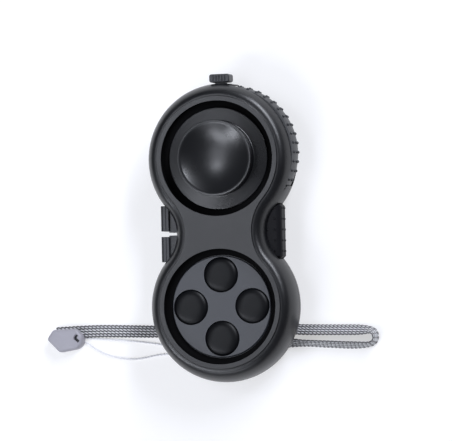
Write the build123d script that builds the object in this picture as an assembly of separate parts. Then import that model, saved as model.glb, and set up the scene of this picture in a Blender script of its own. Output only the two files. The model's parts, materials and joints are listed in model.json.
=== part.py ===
"""Hand-held fidget pad with a wrist lanyard, laid on its back.

+Z is the front of the pad, +Y runs towards the joystick end and +X is the pad's right-hand side.
z = 0 is the surface that the pad lies on: the rear spin dial and the lanyard lugs stand on it.
The origin is below the middle of the pad's own box. All sizes are in millimetres.
"""

from build123d import *
import math
import os

# ---- casing ----
BODY_T = 17.0  # front face to rear face
FOOT = 2.4  # how far the dial and the lanyard lugs hold the rear face off the table
LOBE_R = 25.6  # outer radius of each round lobe
LOBE_OVERLAP = 1.2  # how far the two lobes run into each other
LOBE_PITCH = 2 * LOBE_R - LOBE_OVERLAP  # between the two lobe centres
WAIST_IN = 9.4  # how far the waist is cut in beside the lobes
NECK_W = LOBE_R - WAIST_IN  # half the width of the waist
ROLL = 4.3  # how far the rounded sides run in from the outline
EDGE_STEP = 0.35  # small step where the flat face meets the rounded side
WALL = 1.6
SEAM = 0.25  # width and depth of the shadow line between the two shells
RUN_GAP = 0.1  # clearance of sliding and turning pieces

# ---- joystick ----
RIM_W = 1.8  # flat rim round both recesses
WELL_R = LOBE_R - ROLL - RIM_W  # both round recesses in the front face
WELL_DEPTH = 3.2
FLOOR_T = 1.0
CUP_WALL = 1.1
SKIRT_GAP = 2.3  # between the skirt and the wall of the recess
SKIRT_R = WELL_R - SKIRT_GAP
SKIRT_DEPTH = 2.4  # edge of the skirt below the front face
SKIRT_T = 0.6
SKIRT_FALL = 0.9  # from its root down to its edge
SKIRT_W = 4.3
CAP_R = SKIRT_R - SKIRT_W
CAP_RISE = 3.0  # rim of the cap above the front face
DISH_DEPTH = 3.0
STEM = 6.0  # side of the square stem
GLIDE = 1.4  # travel each way along X and along Y
SLIDE_T = 1.2
SPRING_ROOM = 1.6  # length left to a centring spring at full travel
RETAINER_R = 10.0
RETAINER_T = 1.0

# ---- gear wheel ----
GEAR_T = 8.0
GEAR_OFFSET = 3.3  # axis away from the lobe's centre
GEAR_PROUD = 0.7  # how far the rim stands out of the casing
GEAR_R = LOBE_R + GEAR_PROUD - GEAR_OFFSET
GEAR_ANGLE = 27.0  # direction of that offset, from +X
GEAR_CROWN = 0.6  # how much the rim's edges fall away
GEAR_RIM = 2.4
GEAR_GAP = 0.25
WINDOW_ANGLE = 50.0  # half the opening in the casing
JOURNAL_R = 9.5  # ring in the rear shell that the wheel turns on
JOURNAL_WALL = 2.0
WEB_T = 1.2
WEB_RISE = 1.0  # web above the wheel's lower rim
NOTCH_COUNT = 24
NOTCH_R = 0.8

# ---- spin dial ----
DIAL_R = 17.5
DIAL_POCKET = 1.4  # depth of the dial's pocket in the rear face
DIAL_DISH_R = 13.5
DIAL_DISH_DEPTH = 1.2
DIAL_SCALLOPS = 18
STUD_R = 2.4
CLIP_R = 3.7
CLIP_T = 0.8

# ---- buttons ----
COVE = 2.3  # width of the curved wall round the plate
PLATE_R = WELL_R - COVE
PLATE_DEPTH = 2.7  # top of the plate below the front face
PLATE_T = 1.2
PLATE_FLANGE_R = WELL_R
PLATE_FLANGE_T = 1.0
COVE_TOP = 1.2  # where the recess wall starts to curve in
BUTTON_R = 5.85
BUTTON_EDGE = 0.6  # least width of the plate outside a button
BUTTON_PITCH = PLATE_R - BUTTON_R - BUTTON_EDGE  # button centre to lobe centre
BUTTON_RISE = 0.9  # above the plate
BUTTON_ROLL = 1.45  # width of the rounding round a button's top
BUTTON_FLANGE_R = BUTTON_R + 1.05
BUTTON_FLANGE_T = 0.8
BUTTON_FOOT = 0.7
DOME_H = 1.9
MEMBRANE_T = 0.8
TRAY_R = PLATE_R - 0.4
TRAY_T = 1.2
POST_R = 2.0
POST_PITCH = TRAY_R - POST_R - 0.2

# ---- triggers and massage panel, in the waist ----
TRIGGER_X = NECK_W + 5.0  # outer face
TRIGGER_END = 9.5  # end next to the lobe
TRIGGER_GAP = 1.9  # between the two triggers
TRIGGER_H = 8.4
PADDLE_T = 2.7
TRIGGER_PIN_X = NECK_W - 1.6
TRIGGER_ROOM_X = NECK_W - 3.7  # inner end of the triggers' room
TRIGGER_ROOM = 0.3  # clearance above and below
PIN_BOSS_R = 1.7
TRIGGER_PIN_Y = 8.0
PIN_R = 0.75
PANEL_X = NECK_W + 4.6
PANEL_L = 18.8
PANEL_H = 7.2
PANEL_IN = NECK_W - 3.0

# ---- top slider ----
KNOB_L = 7.1
KNOB_H = 2.85
KNOB_D = 5.2
KNOB_GAP = 0.25  # between the knob and the casing
KNOB_TRAVEL = 1.0
RAIL_L = 3.8
RAIL_STEM_T = 1.8
RAIL_HEAD_T = 3.4
RAIL_HEAD_H = 0.7

# ---- fasteners ----
SCREW_R = 0.8
SCREW_HEAD_R = 1.5
SCREW_HEAD_T = 0.9
BOSS_R = 1.9

# ---- lanyard ----
BAR_R = 0.6
BAR_Z = 1.5
LUG_T = 1.2
LUG_L = 3.0
LUG_GAP = 3.6
LUG_REACH = 16.45  # bar from the lower lobe's centre
STRING_D = 0.8
STRAP_W = 4.4
STRAP_T = 1.1
CLIP_H = 4.4
STRAP_ROOM = 0.02  # clearance of the strap in the clip and in the crimp
CRIMP_L = 8.0
CRIMP_H = 2.1
CRIMP_WALL = 0.2

# ---- worked out ----
REAR = FOOT
FACE = FOOT + BODY_T
MID = FOOT + BODY_T / 2
KNOB_TOP = KNOB_GAP + KNOB_H
NECK_Y = -KNOB_TOP / 2
UPPER = (0, NECK_Y + LOBE_PITCH / 2)
LOWER = (0, NECK_Y - LOBE_PITCH / 2)
LANYARD_Y = LOWER[1] - LUG_REACH
NECK_R = (NECK_W**2 + (LOBE_PITCH / 2) ** 2 - LOBE_R**2) / (2 * (LOBE_R - NECK_W))
NECK_X = NECK_W + NECK_R
TANGENT_ANGLE = math.degrees(math.atan2(LOBE_PITCH / 2, NECK_X))
FLOOR_LOW = FACE - WELL_DEPTH - FLOOR_T
SLIDE_HIGH = FLOOR_LOW - RUN_GAP
SLIDE_LOW = SLIDE_HIGH - SLIDE_T
RETAINER_HIGH = SLIDE_LOW - RUN_GAP
RETAINER_LOW = RETAINER_HIGH - RETAINER_T
SLIDE_X = STEM / 2 + 3.0  # half size of the cross slide
SLOT_Y = STEM / 2 + GLIDE + SPRING_ROOM
SLIDE_Y = SLOT_Y + 2.0
STOP_X = SLIDE_X + GLIDE + SPRING_ROOM
GEAR_AXIS = (
    UPPER[0] + GEAR_OFFSET * math.cos(math.radians(GEAR_ANGLE)),
    UPPER[1] + GEAR_OFFSET * math.sin(math.radians(GEAR_ANGLE)),
)
WEB_LOW = MID - GEAR_T / 2 + WEB_RISE
WEB_HIGH = WEB_LOW + WEB_T
JOURNAL_HIGH = WEB_HIGH + RUN_GAP
KEEPER_HIGH = JOURNAL_HIGH + 0.8
POCKET_Z = REAR + DIAL_POCKET
DIAL_HIGH = POCKET_Z - RUN_GAP
PLATE_HIGH = FACE - PLATE_DEPTH
FLANGE_HIGH = PLATE_HIGH - PLATE_T
FLANGE_LOW = FLANGE_HIGH - PLATE_FLANGE_T
BUTTON_FLANGE_LOW = FLANGE_LOW - RUN_GAP - BUTTON_FLANGE_T
DOME_HIGH = BUTTON_FLANGE_LOW - BUTTON_FOOT
MEMBRANE_HIGH = DOME_HIGH - DOME_H
TRAY_HIGH = MEMBRANE_HIGH - MEMBRANE_T
TRAY_LOW = TRAY_HIGH - TRAY_T
BUTTONS = {"top": 90, "right": 0, "bottom": 270, "left": 180}
BOSS_PITCH = TRAY_R + BOSS_R + 0.9
BOSS_ANGLE = 40.0  # below the lower lobe's centre
BOSSES = [(s * BOSS_PITCH * math.cos(math.radians(BOSS_ANGLE)),
           LOWER[1] - BOSS_PITCH * math.sin(math.radians(BOSS_ANGLE))) for s in (-1, 1)]
BOSSES += [(0, NECK_Y - 1.4)]
OUTSIDE = 2 * LOBE_PITCH  # beyond every piece of the pad


def disc(centre, radius, low, high):
    """Upright cylinder on a centre, between two heights."""
    return Pos(centre[0], centre[1], (low + high) / 2) * Cylinder(radius, high - low)


def block(x0, x1, y0, y1, z0, z1):
    """Box between two corners."""
    return Pos((x0 + x1) / 2, (y0 + y1) / 2, (z0 + z1) / 2) * Box(x1 - x0, y1 - y0, z1 - z0)


def around(centre, radius, degrees):
    """Point on a circle round a centre."""
    turn = math.radians(degrees)
    return (centre[0] + radius * math.cos(turn), centre[1] + radius * math.sin(turn))


def turned(profile, centre, height=0.0):
    """Solid of revolution about an upright axis, from a face drawn as (radius, height)."""
    return Pos(centre[0], centre[1], height) * revolve(Plane.XZ * profile, Axis.Z)


def polygon(*points):
    """Face with straight sides."""
    return make_face(Polyline(*points, close=True))


def rounded_edge(centre_r, sign, half, step):
    """Edge of the casing's section: a small step, half an ellipse and another step."""
    top = half - step
    arc = EllipticalCenterArc((centre_r, 0), ROLL, top, start_angle=-90 if sign > 0 else 90, arc_size=180)
    if not step:
        return [arc]
    inner = centre_r - sign * step
    return [arc, Line((inner, half), (centre_r, top)), Line((inner, -half), (centre_r, -top))]


def lobe(inset, step):
    """The part of a lobe outside the waist, centred on the origin and opening towards -Y."""
    half = BODY_T / 2 - inset
    flat = LOBE_R - inset - ROLL
    corner = flat - step
    edges = rounded_edge(flat, 1, half, step)
    edges += [Polyline((corner, half), (0, half), (0, -half), (corner, -half))]
    section = Plane.XZ * make_face(Curve() + edges)
    start = -TANGENT_ANGLE
    return Rot(0, 0, start) * revolve(section, Axis.Z, revolution_arc=180 + 2 * TANGENT_ANGLE)


def waist_cutter(inset, step):
    """Spool that hollows out one side of the waist."""
    half = BODY_T / 2 - inset
    radius = NECK_R + inset + ROLL
    corner = radius + step
    over = half + 1
    edges = rounded_edge(radius, -1, half, step)
    edges += [Polyline((corner, half), (corner, over), (0, over), (0, -over), (corner, -over),
                       (corner, -half))]
    return revolve(Plane.XZ * make_face(Curve() + edges), Axis.Z)


def pebble(inset=0.0, step=0.0):
    """The whole casing as one solid, shrunk all round by inset."""
    half = BODY_T / 2 - inset
    pitch = LOBE_PITCH / 2
    reach = LOBE_R / math.hypot(NECK_X, pitch)
    tx, ty = NECK_X * reach, pitch * (1 - reach)
    outline = polygon((0, pitch), (-tx, ty), (-tx, -ty), (0, -pitch), (tx, -ty), (tx, ty))
    waist = Pos(0, 0, -half) * extrude(outline, 2 * half)
    for side in (-1, 1):
        waist -= Pos(side * NECK_X, 0, 0) * waist_cutter(inset, step)
    upper = Pos(0, pitch, 0) * lobe(inset, step)
    lower = Rot(0, 0, 180) * upper
    return Pos(0, NECK_Y, MID) * (waist + upper + lower)


def gear_room():
    """Space that the wheel turns in, with the opening in the side of the casing."""
    half = GEAR_T / 2 + GEAR_GAP
    room = disc(GEAR_AXIS, GEAR_R + GEAR_GAP, MID - half, MID + half)
    far = 1.4 * LOBE_R
    left, right = (around((0, 0), far, GEAR_ANGLE + s * WINDOW_ANGLE) for s in (1, -1))
    middle = around((0, 0), 1.4 * far, GEAR_ANGLE)
    wedge = Pos(*UPPER, MID - half) * extrude(polygon((0, 0), right, middle, left), 2 * half)
    window = wedge & (disc(UPPER, far, MID - half, MID + half) - disc(UPPER, LOBE_R - 4, 0, FACE))
    return room + window


def waist_room():
    """Openings in the waist for the triggers and for the massage panel."""
    tall = TRIGGER_H / 2 + TRIGGER_ROOM
    ends = TRIGGER_END + 0.4
    triggers = block(-TRIGGER_X - 1, -TRIGGER_ROOM_X, NECK_Y - ends, NECK_Y + ends, MID - tall, MID + tall)
    high, long = PANEL_H / 2, PANEL_L / 2
    panel = block(PANEL_IN, PANEL_X + 1, NECK_Y - long, NECK_Y + long, MID - high, MID + high)
    return triggers + panel


def rail_foot():
    """Foot of the slider rail, which sits in both shells."""
    bottom = UPPER[1] + LOBE_R - 0.85
    return block(-RAIL_L / 2, RAIL_L / 2, bottom, UPPER[1] + LOBE_R + 0.3,
                 MID - RAIL_STEM_T / 2, MID + RAIL_STEM_T / 2)


def trigger_pin_places():
    return [(-TRIGGER_PIN_X, NECK_Y + s * TRIGGER_PIN_Y) for s in (-1, 1)]


def front_well():
    """Recess round the button plate: a straight wall that curves in to a lip."""
    lip_r = PLATE_R + 0.25
    cove = WELL_R - lip_r
    edges = [
        Polyline((lip_r, -COVE_TOP - cove), (lip_r, -FACE / 2), (0, -FACE / 2), (0, 1), (WELL_R, 1),
                 (WELL_R, -COVE_TOP)),
        CenterArc((lip_r, -COVE_TOP), cove, -90, 90),
    ]
    return turned(make_face(Curve() + edges), LOWER, FACE)


def front_shell(outer, inner):
    over = FACE + 1
    shell = (outer - inner) & block(-OUTSIDE, OUTSIDE, -OUTSIDE, OUTSIDE, MID, over)
    inside = disc(UPPER, WELL_R + CUP_WALL, FLOOR_LOW, FACE - EDGE_STEP)
    inside += disc(LOWER, WELL_R + CUP_WALL, FLANGE_LOW - 1.1, FACE - EDGE_STEP)
    for side in (-1, 1):
        y0, x0 = UPPER[1] + side * (SLIDE_Y + 0.05), side * STOP_X
        y1, x1 = y0 + side, x0 + side
        inside += block(-STOP_X, STOP_X, min(y0, y1), max(y0, y1), SLIDE_LOW, FLOOR_LOW)
        inside += block(min(x0, x1), max(x0, x1), UPPER[1] - SLIDE_Y - 1, UPPER[1] + SLIDE_Y + 1,
                        SLIDE_LOW, FLOOR_LOW)
    inside += disc(BOSSES[2], BOSS_R, MID, FACE - WALL)
    for place in trigger_pin_places():
        inside += disc(place, PIN_BOSS_R, MID + TRIGGER_H / 2 + TRIGGER_ROOM, FACE - WALL)
    shell += inside & outer
    shell -= disc(UPPER, WELL_R, FACE - WELL_DEPTH, over)
    shell -= disc(UPPER, STEM / math.sqrt(2) + math.sqrt(2) * GLIDE + 0.4, 0, over)
    shell -= front_well()
    shell -= disc(LOWER, PLATE_FLANGE_R + 0.15, 0, FLANGE_HIGH + RUN_GAP)
    for place in BOSSES:
        shell += (disc(place, BOSS_R, MID, FLANGE_LOW - 0.5) & outer)
        shell -= disc(place, SCREW_R, 0, MID + 4)
    for place in trigger_pin_places():
        shell -= disc(place, PIN_R, 0, MID + TRIGGER_H / 2 + 1.9)
    return shell - gear_room() - waist_room() - rail_foot()


def rear_shell(outer, inner):
    shell = (outer - inner) & block(-OUTSIDE, OUTSIDE, -OUTSIDE, OUTSIDE, REAR - 1, MID)
    inside = disc(UPPER, DIAL_R + 1.5, REAR + EDGE_STEP, POCKET_Z + 1.2)
    inside += disc(GEAR_AXIS, JOURNAL_R + 1.5, REAR + EDGE_STEP, WEB_LOW - RUN_GAP)
    inside += disc(GEAR_AXIS, JOURNAL_R, REAR + EDGE_STEP, JOURNAL_HIGH)
    for place in BOSSES:
        inside += disc(place, BOSS_R, REAR + EDGE_STEP, MID)
    for place in trigger_pin_places():
        inside += disc(place, PIN_BOSS_R, REAR + EDGE_STEP, MID - TRIGGER_H / 2 - TRIGGER_ROOM)
    wall = 2 - TRIGGER_ROOM_X
    inside += block(wall, wall + 1, NECK_Y - 5, NECK_Y + 4.4, REAR + WALL / 2, MID + 2)
    shell += inside & outer
    shell -= disc(UPPER, DIAL_R + 0.3, 0, POCKET_Z)
    shell -= disc(UPPER, STUD_R + RUN_GAP, 0, POCKET_Z + 2)
    shell -= disc(GEAR_AXIS, JOURNAL_R - JOURNAL_WALL, POCKET_Z + 1.2, FACE)
    for turn in (90, 210, 330):
        shell -= disc(around(GEAR_AXIS, JOURNAL_R - 1, turn), 0.5, WEB_LOW, FACE)
    for place in BOSSES:
        shell -= disc(place, SCREW_R, 0, FACE)
        shell -= disc(place, SCREW_HEAD_R + 0.1, 0, REAR + SCREW_HEAD_T + 0.3)
    for place in trigger_pin_places():
        shell -= disc(place, PIN_R, MID - TRIGGER_H / 2 - 1.9, FACE)
    seam = (outer - pebble(SEAM)) & block(-OUTSIDE, OUTSIDE, -OUTSIDE, OUTSIDE, MID - SEAM, MID + 1)
    shell -= seam
    lug = LUG_GAP / 2
    for y0 in (LANYARD_Y + lug, LANYARD_Y - lug - LUG_T):
        shell += block(-LUG_L / 2, LUG_L / 2, y0, y0 + LUG_T, 0, REAR + EDGE_STEP)
    shell -= block(-1.8, 1.8, LANYARD_Y - lug, LANYARD_Y + lug, 0, REAR + 0.7)
    shell -= Pos(0, LANYARD_Y, BAR_Z) * Rot(90, 0, 0) * Cylinder(BAR_R, LUG_GAP + 2 * LUG_T)
    return shell - gear_room() - waist_room() - rail_foot()


def joystick():
    """Mushroom-shaped cap with a dished top and a wide skirt, on a square stem."""
    rim = CAP_R - 0.6
    floor = CAP_RISE - DISH_DEPTH
    sag = rim / 2
    bowl = (rim**2 + DISH_DEPTH**2) / (2 * DISH_DEPTH)
    middle = floor + bowl - math.sqrt(bowl**2 - sag**2)
    low = -SKIRT_DEPTH - SKIRT_T
    root = SKIRT_FALL - SKIRT_DEPTH
    edges = [
        ThreePointArc((0, floor), (sag, middle), (rim, CAP_RISE)),
        RadiusArc((rim, CAP_RISE), (CAP_R, CAP_RISE - 0.6), 0.6),
        Polyline((CAP_R, CAP_RISE - 0.6), (CAP_R - 0.5, CAP_RISE - 1.4), (CAP_R - 0.4, root + 0.4),
                 (CAP_R, root), (SKIRT_R, -SKIRT_DEPTH), (SKIRT_R, low), (SKIRT_R - 1.2, low),
                 (CAP_R - 1.7, low + 0.4), (CAP_R - 1.7, floor + 0.9), (0, floor - 1.7), (0, floor)),
    ]
    cap = turned(make_face(Curve() + edges), UPPER, FACE)
    stem = Pos(*UPPER, (FACE - 1 + RETAINER_HIGH) / 2) * Box(STEM, STEM, FACE - 1 - RETAINER_HIGH)
    return cap + stem - disc(UPPER, SCREW_R + 0.02, RETAINER_HIGH, RETAINER_HIGH + 3.6)


def joystick_retainer():
    return disc(UPPER, RETAINER_R, RETAINER_LOW, RETAINER_HIGH) - disc(UPPER, SCREW_R + 0.02, 0, FACE)


def screw(place, seat, length, up=1, radius=SCREW_R, head=SCREW_HEAD_R, thick=SCREW_HEAD_T):
    """Pan-head screw: its head bears on seat and its shank runs up or down from there."""
    ends = sorted((seat, seat + up * length))
    tops = sorted((seat, seat - up * thick))
    whole = disc(place, radius, *ends) + disc(place, head, *tops)
    slot = seat - up * thick
    low, high = sorted((slot, slot + up * 0.35))
    cross = block(-head * 0.7, head * 0.7, -0.2, 0.2, low, high)
    cross += block(-0.2, 0.2, -head * 0.7, head * 0.7, low, high)
    return whole - Pos(place[0], place[1], 0) * cross


def cross_slide():
    """Plate that slides along X under the floor and holds the stem in a slot along Y."""
    plate = block(-SLIDE_X, SLIDE_X, -SLIDE_Y, SLIDE_Y, SLIDE_LOW, SLIDE_HIGH)
    half = STEM / 2 + 0.05
    return Pos(*UPPER, 0) * (plate - block(-half, half, -SLOT_Y, SLOT_Y, 0, FACE))


def spring_pair(start, end, along_x, height, centre):
    """Two small springs, drawn as plain rods, one each side of a centre."""
    length = end - start
    turn = Rot(0, 90, 0) if along_x else Rot(90, 0, 0)
    rods = []
    for side in (-1, 1):
        place = side * (start + end) / 2
        where = (place, 0) if along_x else (0, place)
        rods.append(Pos(centre[0] + where[0], centre[1] + where[1], height) * turn * Cylinder(0.45, length))
    return Compound(rods)


def gear_wheel():
    """Crowned rim on a flat web, with click notches inside the rim."""
    half = GEAR_T / 2
    inner = GEAR_R - GEAR_RIM
    edges = [
        ThreePointArc((GEAR_R - GEAR_CROWN, -half), (GEAR_R, 0), (GEAR_R - GEAR_CROWN, half)),
        Polyline((GEAR_R - GEAR_CROWN, half), (inner, half), (inner, -half), (GEAR_R - GEAR_CROWN, -half)),
    ]
    wheel = turned(make_face(Curve() + edges), GEAR_AXIS, MID)
    wheel += disc(GEAR_AXIS, inner + 0.5, WEB_LOW, WEB_HIGH) - disc(GEAR_AXIS, JOURNAL_R + RUN_GAP, 0, FACE)
    for k in range(NOTCH_COUNT):
        place = around(GEAR_AXIS, inner, 360 * k / NOTCH_COUNT)
        wheel -= disc(place, NOTCH_R, 0, WEB_LOW)
    return wheel


def gear_keeper():
    """Ring screwed on the journal, which keeps the wheel on it."""
    ring = disc(GEAR_AXIS, JOURNAL_R + 1.5, JOURNAL_HIGH, KEEPER_HIGH)
    ring -= disc(GEAR_AXIS, JOURNAL_R - JOURNAL_WALL, 0, FACE)
    for turn in (90, 210, 330):
        ring -= disc(around(GEAR_AXIS, JOURNAL_R - 1, turn), 0.5, 0, FACE)
    return ring


def keeper_screws():
    places = [around(GEAR_AXIS, JOURNAL_R - 1, turn) for turn in (90, 210, 330)]
    return Compound([screw(p, KEEPER_HIGH, 2.4, -1, radius=0.5, head=0.9, thick=0.6) for p in places])


def click_spring():
    """Leaf below the web whose nose points at a notch in the rim."""
    nose = GEAR_R - GEAR_RIM - 0.5
    low, high = POCKET_Z + 1.2, WEB_LOW - 0.3
    leaf = block(-0.25, 0.25, -5, 5, low, high)
    leaf += Pos(0.25, 0, (low + high) / 2) * Cylinder(0.6, high - low)
    foot = block(-1.2, 0, -6.2, -5, low, high) + block(-1.2, 0, 5, 6.2, low, high)
    x = nose - 0.85
    return Pos(*GEAR_AXIS, 0) * Rot(0, 0, 180) * Pos(x, 0, 0) * (leaf + foot)


def spin_dial():
    """Thumb dial with a dished outer face and a scalloped edge, on a short stud."""
    dial = disc(UPPER, DIAL_R, 0, DIAL_HIGH)
    bowl = (DIAL_DISH_R**2 + DIAL_DISH_DEPTH**2) / (2 * DIAL_DISH_DEPTH)
    dial -= Pos(*UPPER, DIAL_DISH_DEPTH - bowl) * Sphere(bowl)
    for k in range(DIAL_SCALLOPS):
        dial -= disc(around(UPPER, DIAL_R + 0.9, 360 * k / DIAL_SCALLOPS), 1.5, -1, REAR - 0.6)
    dial += disc(UPPER, STUD_R, DIAL_HIGH - 0.2, POCKET_Z + 1.2 + RUN_GAP)
    return dial + disc(UPPER, STUD_R - 0.5, DIAL_HIGH, POCKET_Z + 1.2 + RUN_GAP + CLIP_T + 0.3)


def dial_clip():
    low = POCKET_Z + 1.2 + RUN_GAP
    return disc(UPPER, CLIP_R, low, low + CLIP_T) - disc(UPPER, STUD_R - 0.5, 0, FACE)


def button_place(angle):
    return around(LOWER, BUTTON_PITCH, angle)


def post_places():
    return [around(LOWER, POST_PITCH, 45 + 90 * k) for k in range(4)]


def button_plate():
    """Round plate that the four buttons come through, clamped from behind."""
    plate = disc(LOWER, PLATE_R, FLANGE_LOW, PLATE_HIGH)
    plate += disc(LOWER, PLATE_FLANGE_R, FLANGE_LOW, FLANGE_HIGH)
    plate = chamfer(plate.edges().group_by(Axis.Z)[-1], 0.3)
    for angle in BUTTONS.values():
        plate -= disc(button_place(angle), BUTTON_R + 0.15, 0, FACE)
    for place in post_places():
        plate -= disc(place, 0.7, 0, FLANGE_LOW + 1.4)
    return plate


def button(angle):
    """Button with a low domed top, a flange below the plate and a foot on the rubber dome."""
    top = PLATE_HIGH + BUTTON_RISE
    crown = BUTTON_R - BUTTON_ROLL
    edges = [
        ThreePointArc((0, top), (0.52 * crown, top - 0.06), (crown, top - 0.25)),
        ThreePointArc((crown, top - 0.25), (BUTTON_R - 0.45, top - 0.75), (BUTTON_R, top - 1.6)),
        Polyline((BUTTON_R, top - 1.6), (BUTTON_R, FLANGE_LOW - RUN_GAP),
                 (BUTTON_FLANGE_R, FLANGE_LOW - RUN_GAP),
                 (BUTTON_FLANGE_R, BUTTON_FLANGE_LOW), (1.8, BUTTON_FLANGE_LOW), (1.8, DOME_HIGH),
                 (0, DOME_HIGH), (0, top)),
    ]
    return turned(make_face(Curve() + edges), button_place(angle))


def button_membrane():
    sheet = disc(LOWER, TRAY_R, TRAY_HIGH, MEMBRANE_HIGH)
    for place in post_places():
        sheet -= disc(place, POST_R + 0.1, 0, FACE)
    return sheet


def button_dome(angle):
    """Hollow rubber dome under a button."""
    edges = [(4.2, 0), (2.2, DOME_H), (0, DOME_H), (0, DOME_H - 0.6), (1.8, DOME_H - 0.6), (3.5, 0)]
    return turned(polygon(*edges), button_place(angle), MEMBRANE_HIGH)


def membrane_tray():
    tray = disc(LOWER, TRAY_R, TRAY_LOW, TRAY_HIGH)
    for place in post_places():
        tray += disc(place, POST_R, TRAY_HIGH, FLANGE_LOW)
        tray -= disc(place, 0.7, 0, FACE)
    return tray


def trigger(side):
    """Rocking trigger: an outer paddle with two grooves, a web, a stop and a hinge barrel."""
    gap = TRIGGER_GAP / 2
    inner = -TRIGGER_X + PADDLE_T
    tall = TRIGGER_H / 2
    paddle = block(-TRIGGER_X, inner, gap, TRIGGER_END, -tall, tall)
    paddle = fillet(paddle.edges().filter_by(Axis.Y).group_by(Axis.X)[0], 0.6)
    for x in (-TRIGGER_X + 0.75, -TRIGGER_X + 1.85):
        for face in (-tall, tall):
            paddle -= block(x - 0.2, x + 0.2, 0, 20, face - 0.3, face + 0.3)
    web = block(inner - 0.1, 0.1 - TRIGGER_ROOM_X, 0.5, TRIGGER_END - 1.2, -3.0, 3.0)
    stop = block(-0.6 - TRIGGER_ROOM_X, 0.2 - TRIGGER_ROOM_X, 0.8, 5.0, -tall - 0.7, tall + 0.7)
    barrel = Pos(-TRIGGER_PIN_X, TRIGGER_PIN_Y, 0) * Cylinder(1.8, 2 * tall)
    body = paddle + web + stop + barrel
    body -= Pos(-TRIGGER_PIN_X, TRIGGER_PIN_Y, 0) * Cylinder(PIN_R + 0.05, 4 * tall)
    if side < 0:
        body = mirror(body, Plane.XZ)
    return Pos(0, NECK_Y, MID) * body


def trigger_pins():
    reach = TRIGGER_H / 2 + 1.8
    return Compound([disc(place, PIN_R, MID - reach, MID + reach) for place in trigger_pin_places()])


def trigger_spring(side):
    return Pos(1.1 - TRIGGER_ROOM_X, NECK_Y + side * 3.0, MID) * Rot(0, 90, 0) * Cylinder(1.2, 1.8)


def massage_panel():
    """Soft insert that fills the waist on the right, with rounded outer edges and chamfered ends."""
    high, long = PANEL_H / 2, PANEL_L / 2
    panel = block(PANEL_IN, PANEL_X, -long, long, -high, high)
    panel = fillet(panel.edges().filter_by(Axis.Y).group_by(Axis.X)[-1], 1.8)
    ends = panel.edges().filter_by(Axis.Z).group_by(Axis.X)[-1]
    return Pos(0, NECK_Y, MID) * chamfer(ends, 1.0) - disc(GEAR_AXIS, GEAR_R + 0.5, 0, FACE)


def slider_rail():
    low = UPPER[1] + LOBE_R + 0.3
    high = UPPER[1] + LOBE_R + KNOB_GAP + 1.0
    half = RAIL_L / 2
    stem = block(-half, half, low, high, MID - RAIL_STEM_T / 2, MID + RAIL_STEM_T / 2)
    head = block(-half, half, high - 0.01, high + RAIL_HEAD_H, MID - RAIL_HEAD_T / 2, MID + RAIL_HEAD_T / 2)
    return rail_foot() + stem + head


def slider_knob():
    """Ribbed knob with a channel that runs on the rail."""
    low = UPPER[1] + LOBE_R + KNOB_GAP
    knob = block(-KNOB_L / 2, KNOB_L / 2, low, low + KNOB_H, MID - KNOB_D / 2, MID + KNOB_D / 2)
    knob = fillet(knob.edges().filter_by(Axis.Z), 0.8)
    knob = fillet(knob.edges().group_by(Axis.Y)[-1], 0.4)
    for k in range(-2, 3):
        for face in (-1, 1):
            groove = Pos(k, 0, MID + face * KNOB_D / 2) * Rot(90, 0, 0) * Cylinder(0.25, 200)
            knob -= groove & block(-9, 9, low + 0.5, low + KNOB_H - 0.5, 0, FACE)
    half = RAIL_L / 2 + KNOB_TRAVEL
    stem = RAIL_STEM_T / 2 + RUN_GAP
    head = RAIL_HEAD_T / 2 + RUN_GAP
    knob -= block(-half, half, low - 1, low + 1.2, MID - stem, MID + stem)
    return knob - block(-half, half, low + 0.9, low + 1.1 + RAIL_HEAD_H, MID - head, MID + head)


def case_screws():
    return Compound([screw(place, REAR + SCREW_HEAD_T + 0.3, 9.0) for place in BOSSES])


def tray_screws():
    return Compound([screw(place, TRAY_LOW, 6.6, radius=0.7) for place in post_places()])


def lanyard_bar():
    return Pos(0, LANYARD_Y, BAR_Z) * Rot(90, 0, 0) * Cylinder(BAR_R, LUG_GAP + 2 * LUG_T)


def string_hitch():
    """Two turns of the string round the bar, drawn as rings."""
    rings = [
        Pos(0, LANYARD_Y + y, BAR_Z) * Rot(90, 0, 0) * Torus(BAR_R + STRING_D / 2 + 0.02, STRING_D / 2)
        for y in (-0.5, 0.5)
    ]
    return Compound(rings)


# ---- lanyard route: points chosen by hand, on the table ----
STRING_Z = STRING_D / 2
UPPER_STRAND = [
    (-1.3, -42.5, 0.9), (-4.0, -42.5, STRING_Z), (-11.0, -42.5, STRING_Z), (-18.0, -40.9, STRING_Z),
    (-26.0, -38.8, STRING_Z), (-36.0, -37.5, STRING_Z), (-45.0, -36.8, STRING_Z), (-51.5, -36.3, STRING_Z),
]
LOWER_STRAND = [
    (-1.3, -43.5, 0.9), (-4.0, -43.6, STRING_Z), (-10.5, -43.5, STRING_Z), (-18.0, -42.3, STRING_Z),
    (-26.0, -41.8, STRING_Z), (-34.5, -43.2, STRING_Z), (-42.8, -41.6, STRING_Z), (-48.0, -39.1, STRING_Z),
    (-51.5, -37.2, STRING_Z),
]
STRAP_Z = STRAP_T / 2
STRAP_ROUTE = [
    (-61.5, -33.7), (-50.0, -33.5), (-38.0, -33.8), (-25.0, -34.1), (-13.0, -32.9), (4.0, -32.7),
    (20.0, -34.7), (34.0, -35.2), (44.5, -35.4), (49.8, -35.8), (49.8, -40.6), (43.5, -40.9),
    (31.0, -40.3), (19.0, -39.6), (7.0, -37.5), (-2.0, -37.4), (-9.0, -37.35),
]
CLIP_OUTLINE = [
    (-64.2, -35.9), (-62.1, -33.0), (-60.0, -32.7), (-54.0, -32.8), (-52.6, -33.6), (-51.5, -35.4),
    (-51.5, -37.8), (-53.3, -39.3), (-59.7, -40.2), (-63.4, -37.5),
]
ROUTE_Y = -43.0  # where the points above take the bar to be
CRIMP_X = -11.0
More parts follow.
